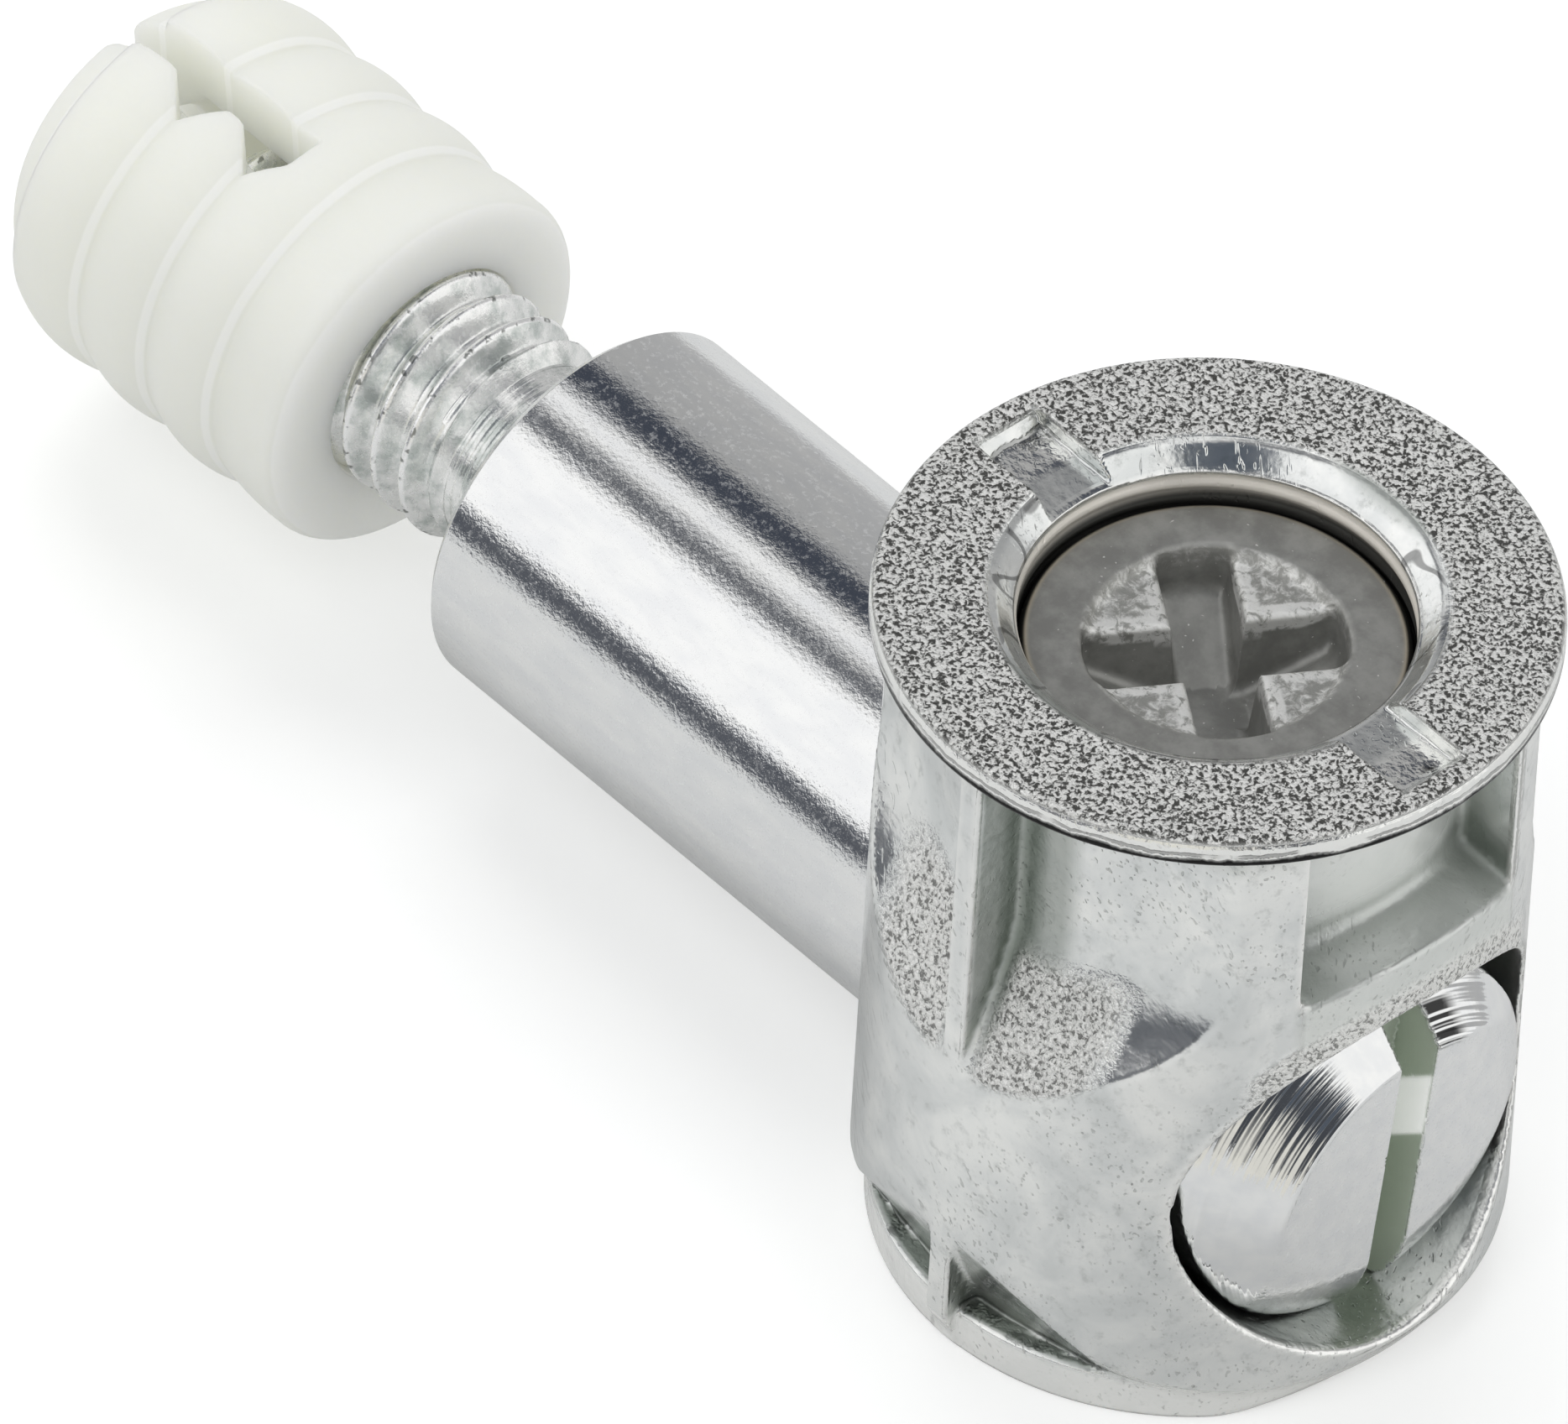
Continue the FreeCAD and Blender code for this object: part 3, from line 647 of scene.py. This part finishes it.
def zinc_casting():
    finish = Finish("zinc_casting", (0.8, 0.81, 0.8), 1.0, 0.2)
    sand, dirt, edge, bore = (finish.painted(name) for name in ("sand", "dirt", "edge", "bore"))
    x, y, z = finish.spot()
    flow = finish.noise(1.2, 4.0, 0.6, warp=0.6)
    colour = finish.mixed(finish.band(flow, 0.35, 0.7), (0.79, 0.81, 0.81), (0.99, 0.995, 0.975))
    cloud = finish.noise(0.22, 4.0, 0.7)
    colour = finish.mixed(finish.band(cloud, 0.52, 0.75) * 0.5, colour, (0.42, 0.44, 0.43))
    # painted shade and dirt: darker and greener in corners and gaps, and a little with the flow
    grime_and_shade = (dirt + finish.band(flow, 0.5, 0.2) * 0.12).clipped()
    colour = finish.mixed(grime_and_shade, colour, (0.30, 0.335, 0.30))
    # matt between the ribs, and painted paler there as painted light in the gap's shade, most of all on
    # the tube
    pocket = finish.band(abs(y), RIB_GAP / 2 + 0.05, RIB_GAP / 2 - 0.1) * finish.band(abs(x), 4.6, 5.2)
    pocket = pocket * finish.band(z, BOLT_Z + 4, BOLT_Z + 5)
    pocket = pocket * finish.band(z, RIM_UNDERSIDE, RIM_UNDERSIDE - 0.3)
    pocket = pocket * (finish.band(z, BOLT_Z + 7.9, BOLT_Z + 8.6) * 0.4 + 0.6)
    colour = finish.mixed(pocket * 0.8, colour, (0.95, 0.975, 0.95))
    # painted highlight and wear: near white on edges, the rim's side, the foot and the cross hole's
    # brink
    colour = finish.mixed(edge, colour, (1.0, 1.0, 0.98))
    pits = finish.band(finish.noise(0.08, 1.0), 0.63, 0.72)
    patches = finish.band(finish.noise(1.7, 3.0), 0.42, 0.6)
    scratches = finish.band(finish.noise(0.06, 1.0, scale=(1, 1, 0.07), turn=(0.5, 0.6, 0)), 0.66, 0.74)
    scrapes = finish.band(finish.noise(0.07, 1.0, scale=(0.06, 1, 1), turn=(0.3, -0.7, 0.4)), 0.66, 0.74)
    marks = (pits * 0.2 + scratches + scrapes) * patches
    colour = finish.mixed((marks * 0.32).clipped(), colour, (0.16, 0.17, 0.16))
    # painted shadow: a black line under the rim's overhang and one where the foot meets the body, and a
    # fainter dark groove line round the rim's side
    wander = z + (finish.noise(0.6, 4.0, 0.7) - 0.5) * 0.4
    uneven = finish.band(finish.noise(0.7, 3.0), 0.35, 0.5)
    groove_and_shadow_lines = finish.line(wander, RIM_TOP - 0.4, 0.035) * uneven * 0.5
    groove_and_shadow_lines = groove_and_shadow_lines + finish.line(wander, RIM_UNDERSIDE + 0.06, 0.1)
    foot_shadow_line = finish.line(wander, FOOT_HEIGHT + 0.1, 0.05) * finish.band(dirt, 0.1, 0.3)
    groove_and_shadow_lines = groove_and_shadow_lines + foot_shadow_line * uneven * 0.6
    groove_and_shadow_lines = groove_and_shadow_lines * finish.band(finish.distance(x, y), 6.5, 7.0)
    flaws = finish.line(finish.noise(1.3, 1.0), 0.52, 0.006) * bore
    colour = finish.mixed((groove_and_shadow_lines + flaws * 0.6).clipped(), colour, (0.02, 0.02, 0.02))
    thread_part = bore * finish.band(z, RIM_TOP - LEAD_IN_DEPTH, RIM_TOP - LEAD_IN_DEPTH - 0.05)
    colour = finish.mixed(thread_part, colour, (0.95, 0.91, 0.84))
    # the gap beside the screw is in shadow
    shaded = thread_part * finish.band(z, SCREW_TOP + 0.35, SCREW_TOP + 0.1)
    colour = finish.mixed(shaded, colour, (0.06, 0.06, 0.055))
    # sand: dark grains between bright ones
    domes = 1 - finish.node("ShaderNodeTexVoronoi", {}, {"Vector": finish.place(), "Scale": 6.5})
    grain = finish.noise(0.06, 2.0, 0.6, warp=0.5)
    pebble = grain + (domes - 0.5) * 0.12
    lower = finish.band(z, 16, 15)
    speck = finish.mixed(finish.band(pebble + lower * 0.05, 0.405, 0.56),
                         (0.08, 0.08, 0.075), (1.0, 1.0, 0.98))
    speck = finish.mixed(lower * 0.2, speck, (1.0, 1.0, 0.97))
    finish.set("Base Color", finish.mixed(sand, colour, speck))
    base = finish.band(z, FOOT_HEIGHT, FOOT_HEIGHT - 0.2)
    matt = sand * 0.5 + thread_part * 0.4 + pocket * 0.7 + base * 0.5
    finish.set("Metallic", 1 - matt.clipped())
    finish.set("Roughness", flow * 0.12 + 0.12 + sand * 0.12 + grime_and_shade * 0.3 + thread_part * 0.25)
    finish.bumped((flow, 0.03), (finish.noise(0.14, 3.0), 0.006), (marks, -0.012), (groove_and_shadow_lines, -0.05),
                  (finish.noise(0.2, 3.0) * (grime_and_shade + edge), 0.05), (pebble * sand, 0.16))
    return finish.material


def dark_steel():
    finish = Finish("dark_steel", (0.4, 0.4, 0.385), 0.7, 0.5)
    lobes, edge = finish.painted("lobes"), finish.painted("edge")
    x, y, _ = finish.spot()
    blotch = finish.noise(0.5, 5.0, 0.65)
    colour = finish.mixed(finish.band(blotch, 0.35, 0.7), (0.31, 0.31, 0.295), (0.45, 0.45, 0.43))
    streak = finish.noise(0.16, 5.0, 0.7, warp=0.5)
    pale = finish.mixed(finish.band(streak, 0.42, 0.68), (0.40, 0.40, 0.38), (0.95, 0.95, 0.93))
    colour = finish.mixed(lobes, colour, pale)
    ring = finish.band(finish.distance(x, y), SCREW_R - 0.3, SCREW_R - 0.12)
    colour = finish.mixed(ring, colour, (0.62, 0.56, 0.45))
    # and its outer edge is in the shadow of the gap
    brim = finish.band(finish.distance(x, y), SCREW_R - 0.2, SCREW_R - 0.1)
    colour = finish.mixed(brim, colour, (0.03, 0.03, 0.028))
    # painted highlight and wear along the cross's edges
    colour = finish.mixed(edge * finish.band(streak, 0.35, 0.5) * 0.85, colour, (1.0, 1.0, 0.98))
    pit = finish.band(finish.noise(0.07, 1.0), 0.74, 0.78)
    finish.set("Base Color", finish.mixed(pit, colour, (0.8, 0.8, 0.78)))
    finish.set("Roughness", blotch * 0.2 + 0.36)
    finish.bumped((finish.noise(0.15, 3.0), 0.015), (streak * lobes, 0.05))
    return finish.material


def plated_steel():
    finish = Finish("plated_steel", (0.86, 0.865, 0.87), 1.0, 0.1)
    thread_part, slot_part, bevel_part, dark_streak_part, patch = (
        finish.painted(name) for name in ("thread", "slot", "bevel", "strokes", "patch"))
    _, y, z = finish.spot()
    streak = finish.noise(0.22, 3.0, 0.55, scale=(0.3, 1, 1))
    colour = finish.mixed(finish.band(streak, 0.3, 0.7), (0.86, 0.87, 0.88), (0.93, 0.935, 0.93))
    tone = finish.noise(0.4, 4.0, 0.65)
    dull = finish.mixed(finish.band(tone, 0.32, 0.6), (0.60, 0.64, 0.62), (1.0, 1.0, 0.99))
    colour = finish.mixed(thread_part, colour, dull)
    # painted highlight along the crests, nibbled dark here and there
    crest = finish.line(finish.distance(y, z - BOLT_Z), THREAD_R, 0.04) * thread_part
    nibble = finish.band(finish.noise(0.12, 2.0), 0.34, 0.44)
    colour = finish.mixed(crest, colour, finish.mixed(nibble, (0.3, 0.31, 0.3), (1.0, 1.0, 1.0)))
    # painted shade in the slot: darker and greener
    colour = finish.mixed(slot_part, colour, (0.62, 0.68, 0.59))
    # turned marks on the bevel, round its own middle
    ring = finish.distance(y - BEVEL_ASIDE, z - (BOLT_Z - BEVEL_BELOW))
    grooves = finish.node("ShaderNodeTexNoise", {"noise_dimensions": "1D"},
                          {"W": ring, "Scale": 4.5, "Detail": 2.0})
    # painted reflection: dark streaks along the turned marks, beside the slot on one side
    strokes = finish.band(grooves, 0.47, 0.52) * dark_streak_part
    colour = finish.mixed(strokes, colour, (0.05, 0.05, 0.05))
    # painted highlight in the slot: a white patch that glows a little
    colour = finish.mixed(patch, colour, (1.0, 1.0, 1.0))
    finish.set("Base Color", colour)
    finish.set("Emission Color", finish.mixed(patch, (0, 0, 0), (0.25, 0.25, 0.25)))
    finish.shader.inputs["Emission Strength"].default_value = 1.0
    rough = finish.noise(0.075, 3.0, 0.7)
    flecks = finish.band(rough, 0.53, 0.66) * (1 - bevel_part)
    finish.set("Metallic", 1 - (slot_part * 0.6 + thread_part * 0.2 + flecks * 0.2 + patch).clipped())
    finish.set("Roughness", streak * 0.06 + 0.05 + thread_part * 0.14 + slot_part * 0.3)
    finish.bumped((streak, 0.004), (rough * (1 - bevel_part), 0.008),
                  (grooves * bevel_part, 0.05), (tone * thread_part, 0.015))
    return finish.material


def nylon():
    finish = Finish("nylon", (0.88, 0.89, 0.85), 0.0, 0.45)
    x, _, _ = finish.spot()
    cloud = finish.noise(1.6, 3.0)
    colour = finish.mixed(cloud, (0.79, 0.80, 0.735), (0.845, 0.85, 0.79))
    beads = ((DOWEL_FACE - COLLAR_LENGTH - x) / BEAD_PITCH + cloud * 0.06).maths("FRACT")
    # a paler ring just past each valley
    pale_ring = finish.line(beads, 0.1, 0.03)
    finish.set("Base Color", finish.mixed(pale_ring * 0.4, colour, (1.0, 1.0, 0.98)))
    # painted light: the nylon glows a little, to look lighter
    finish.set("Emission Color", finish.mixed(cloud, (0.85, 0.86, 0.80), (0.9, 0.91, 0.85)))
    finish.shader.inputs["Emission Strength"].default_value = 0.085
    finish.shader.inputs["Subsurface Weight"].default_value = 0.9
    finish.shader.inputs["Subsurface Radius"].default_value = (1.0, 0.97, 0.85)
    finish.shader.inputs["Subsurface Scale"].default_value = 3.0 * MM
    finish.bumped((finish.noise(0.4, 3.0), 0.02), (finish.noise(0.1, 2.0), 0.003))
    return finish.material


def sand_mask(points, normals):
    """Where the casting is sandy: the rim's face, the ledge beside a fin, the lip over the bolt."""
    x, y, z = points.T
    across, aside, rho = np.abs(x), np.abs(y), np.hypot(x, y)
    face = ramp(z, RIM_TOP - 0.16, RIM_TOP - 0.08) * ramp(normals[:, 2], 0.5, 0.8)
    face *= ramp(rho, LEAD_IN_R + 0.05, LEAD_IN_R + 0.2)
    face *= 1 - ramp(RIM_TOP - z, 0.2, 0.3)
    ledge = ramp(normals[:, 2], 0.16, 0.34) * ramp(z, BOLT_Z + 2, BOLT_Z + 3) * ramp(aside, 3.2, 3.6)
    ledge *= ramp(across, 0.5, 0.8) * ramp(across, 4.1, 3.2) * ramp(z, BOLT_Z + 7.05, BOLT_Z + 6.05)
    over = off_cross_hole(y, z)
    lip = ramp(across, 6.3, 6.7) * ramp(over, 1.0, 0.7) * ramp(over, 0, 0.05)
    lip *= ramp(z, BOLT_Z + 2.5, BOLT_Z + 3.5)
    return np.maximum(np.maximum(face, ledge), lip * 0.9)


def dirt_and_shade_mask(points, normals):
    """Where the casting is painted darker, as painted shade and dirt: corners, the gaps' floor, beside
    the fins, the cross hole's wall.
    """
    x, y, z = points.T
    rho = np.hypot(x, y)
    # painted shade: darker where the surface is closed in by other surfaces
    corner = enclosed(housing_form, points, normals, 1.1)
    corner *= 1 - 0.75 * ramp(np.abs(y), 3.3, 2.9) * ramp(z, BOLT_Z + 8.2, BOLT_Z + 9)
    floor = ramp(np.abs(y), 3.5, 3.2) * ramp(np.abs(x), 4, 5)
    floor *= ramp(z, BOLT_Z + 5.5, BOLT_Z + 6) * ramp(z, BOLT_Z + 8.65, BOLT_Z + 8.25)
    alcove = ramp(np.abs(x), 2.1, 1.6) * ramp(np.abs(y), 5.0, 5.3) * ramp(rho, 7.7, 7.55)
    alcove *= ramp(z, BOLT_Z + 3, BOLT_Z + 6)
    wall = ramp(off_cross_hole(y, z), 0.12, 0.03)
    return np.clip(corner * 0.9 + floor * 0.5 + wall * 0.45 + alcove * 0.6, 0, 1)


def wear_and_highlight_mask(points, normals):
    """Where the casting is painted bright: wear on its edges, and painted highlight on the rim's side,
    the foot and the cross hole's brink.
    """
    x, y, z = points.T
    bright_edges = ramp(exposed(housing_form, points, normals, 0.2), 0.25, 0.7)
    side = ramp(np.hypot(x, y), RIM_R - 0.4, RIM_R - 0.2) * 0.85
    # painted light on the foot, which stands in the part's shade
    base = ramp(z, FOOT_HEIGHT, FOOT_HEIGHT - 0.2) * 0.8
    brink = ramp(np.abs(off_cross_hole(y, z) - 0.05), 0.2, 0.08) * ramp(np.hypot(x, y), 7.4, 7.6)
    return np.maximum(np.maximum(bright_edges, brink), np.maximum(side, base))


def bore_mask(points):
    """The part of the bore that is seen, with its lead-in."""
    rho, z = np.hypot(points[:, 0], points[:, 1]), points[:, 2]
    return ramp(rho, LEAD_IN_R + 0.05, LEAD_IN_R - 0.02) * ramp(z, RIM_TOP - 4.9, RIM_TOP - 3.9)


def screw_masks(points, normals):
    """The edges of the screw's cross, painted bright as wear and highlight, and the floor of its dish
    with the cross in it.
    """
    rho, z = np.hypot(points[:, 0], points[:, 1]), points[:, 2]
    bright_edges = ramp(exposed(grub_screw_form, points, normals, 0.5), 0.1, 0.17)
    bright_edges *= ramp(rho, DISH_R - 0.05, DISH_R - 0.2) * ramp(z, SCREW_TOP - 1, SCREW_TOP - 0.7)
    lobes = ramp(rho, DISH_R + 0.1, DISH_R - 0.1) * ramp(z, SCREW_TOP - 0.6, SCREW_TOP - 0.4)
    return bright_edges, lobes


def bolt_masks(points):
    """The slot's walls, the bevel, the painted dark reflection beside the slot, the painted highlight in
    the slot, the thread.
    """
    x, y, z = points[:, 0], points[:, 1], points[:, 2] - BOLT_Z
    slot_y, slot_z = turned(y, z, SLOT_TURN)
    off = slot_y - SLOT_ASIDE
    slot = ramp(np.abs(off), SLOT_WIDTH / 2 + 0.06, SLOT_WIDTH / 2 + 0.02)
    slot *= ramp(x, HEAD_FACE - SLOT_DEPTH - 0.2, HEAD_FACE - SLOT_DEPTH - 0.1)
    slot *= ramp(x, HEAD_FACE - 0.02, HEAD_FACE - 0.08)
    grown = BEVEL_R + (HEAD_FACE - x) * math.tan(BEVEL_SLOPE)
    bevel = ramp(np.abs(np.hypot(y - BEVEL_ASIDE, z + BEVEL_BELOW) - grown), 0.08, 0.03)
    bevel *= ramp(x, 4.5, 5) * (1 - slot)
    # painted reflection: dark streaks on one side of the slot
    strokes = bevel * ramp(off, 0.6, 0.65) * ramp(off, 1.7, 1.3)
    # painted highlight on the slot's wall
    patch = slot * ramp(off, SLOT_WIDTH / 2 - 0.12, SLOT_WIDTH / 2 - 0.04)
    level = slot_z - 0.77 * (x - HEAD_FACE + 0.6)
    patch *= ramp(level, -0.2, -0.1) * ramp(level, 1.7, 1.6)
    patch *= ramp(x, HEAD_FACE - 1.15, HEAD_FACE - 1.05)
    stud = ramp(x, SHOULDER + 0.05, SHOULDER - 0.02)
    return slot, bevel, strokes, patch, stud


for piece, body, slot, finish in ((housing, "housing", "zinc_casting", zinc_casting()),
                                  (grub_screw, "grub_screw", "dark_steel", dark_steel()),
                                  (bolt, "bolt", "plated_steel", plated_steel()),
                                  (dowel, "dowel", "nylon", nylon())):
    piece.data.materials.append(finish)
    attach(piece, body)
    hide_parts(body)

paint(housing, "sand", sand_mask(housing_points, housing_normals))
paint(housing, "dirt", dirt_and_shade_mask(housing_points, housing_normals))
paint(housing, "edge", wear_and_highlight_mask(housing_points, housing_normals))
paint(housing, "bore", bore_mask(housing_points))
for name, amounts in zip(("edge", "lobes"), screw_masks(screw_points, screw_normals)):
    paint(grub_screw, name, amounts)
for name, amounts in zip(("slot", "bevel", "strokes", "patch", "thread"), bolt_masks(bolt_points)):
    paint(bolt, name, amounts)


# ---- floor, studio and camera ------------------------------------------------------------------
# These stand in metres, since they are far larger than the part.
FLOOR_R = 0.12


def floor_disc():
    mesh = bpy.data.meshes.new("floor")
    ring = [(FLOOR_R * math.cos(a), FLOOR_R * math.sin(a), 0)
            for a in (math.radians(5 * n) for n in range(72))]
    mesh.from_pydata(ring, [], [list(range(72))])
    disc = bpy.data.objects.new("floor", mesh)
    bpy.context.scene.collection.objects.link(disc)
    finish = Finish("pale_floor", (0.74, 0.745, 0.74), 0.0, 0.9)
    finish.shader.inputs["Specular IOR Level"].default_value = 0.0
    finish.shader.inputs["Emission Strength"].default_value = 1.0
    seen = finish.node("ShaderNodeLightPath")
    finish.set("Emission Color", finish.mixed(seen, (0, 0, 0), (0.4, 0.4, 0.4)))
    mesh.materials.append(finish.material)


def studio():
    """Long soft panels along the bolt with dark stretches between them, closed past its head."""
    world = bpy.data.worlds.new("studio")
    bpy.context.scene.world = world
    world.use_nodes = True
    room = Finish("studio", None, None, None, world.node_tree)
    toward = room.node("ShaderNodeTexCoord", out=0)
    parts = room.node("ShaderNodeSeparateXYZ", {}, {0: toward})
    along, side, up = (Value(room, socket) for socket in parts.socket.node.outputs)
    angle = (-1 * side).maths("ARCTAN2", up) / (2 * math.pi) + 0.5
    # degrees round the bolt from overhead towards the near side, and how bright it is there
    panels = [(-180, 0.9), (-95, 0.45), (-40, 0.38), (-34, 0.34), (-31, 0.06), (-15, 0.06), (-10, 0.45),
              (-5, 0.92), (1, 0.92), (5, 0.55), (9, 0.5), (11, 0.14), (18, 0.1), (22, 0.6),
              (27, 1.0), (77, 1.0), (80, 0.1), (95, 0.1), (98, 0.9), (180, 0.9)]
    stops = []
    for place, level in panels:
        blue = 0.08 * max(0, 0.3 - level)
        stops.append(((place + 180) / 360, (level - blue * 0.4, level, level + blue, 1)))
    light = room.node("ShaderNodeValToRGB", {"stops": stops}, {0: angle})
    # past the head's end: white on one side, and a dark screen on the other
    screen = room.band(side, -0.02, -0.14) * room.band(side, -0.74, -0.42) * room.band(along, 0.76, 0.8)
    pale = room.mixed(room.band(side, -0.15, -0.35), (0.97, 0.97, 0.96), (0.72, 0.705, 0.65))
    end = room.mixed(screen, pale, (0.06, 0.065, 0.075))
    light = room.mixed(room.band(along, 0.3, 0.42), light, end)
    # and a dark patch high up before it, which the bore's lead-in reflects
    off_along, off_side = along - 0.47, side + 0.46
    patch = room.band(room.distance(off_along, off_side), 0.36, 0.29)
    light = room.mixed(patch * room.band(up, 0.4, 0.5), light, (0.08, 0.095, 0.12))
    light = room.mixed(room.node("ShaderNodeLightPath"), light, (1, 1, 1))
    background = world.node_tree.nodes["Background"]
    world.node_tree.links.new(light.socket, background.inputs["Color"])
    background.inputs["Strength"].default_value = 1.0


def soft_lamp(name, place, size, power):
    """A big soft lamp aimed at the object, which shows in no reflection."""
    lamp = bpy.data.lights.new(name, "AREA")
    lamp.size = size
    lamp.energy = power
    holder = bpy.data.objects.new(name, lamp)
    holder.location = place
    holder.rotation_euler = (-Vector(place)).to_track_quat("-Z", "Y").to_euler()
    holder.visible_glossy = False
    bpy.context.scene.collection.objects.link(holder)


def camera():
    """A long lens, looking down on the rim from between the bolt's head and its side."""
    azimuth, elevation, roll = (math.radians(angle) for angle in (45.506, 44.776, 3.642))
    target = Vector((-8.7516, -5.39, 12.7846)) * MM
    distance = 1.3
    width = 36.84418 * MM        # of what the picture takes in at the target
    data = bpy.data.cameras.new("camera")
    data.sensor_width = 36
    data.lens = data.sensor_width * distance / width
    data.clip_end = 10
    holder = bpy.data.objects.new("camera", data)
    back = Vector((math.sin(azimuth) * math.cos(elevation),
                   -math.cos(azimuth) * math.cos(elevation), math.sin(elevation)))
    turn = back.to_track_quat("Z", "Y").to_matrix() @ Matrix.Rotation(roll, 3, "Z")
    holder.matrix_world = Matrix.Translation(target + back * distance) @ turn.to_4x4()
    bpy.context.scene.collection.objects.link(holder)
    bpy.context.scene.camera = holder


floor_disc()
studio()
soft_lamp("lamp_front", (0.25, -0.5, 0.7), 0.6, 1.5)
soft_lamp("lamp_back", (-0.4, 0.3, 0.8), 0.6, 3)
camera()
bpy.context.scene.view_settings.view_transform = "Standard"
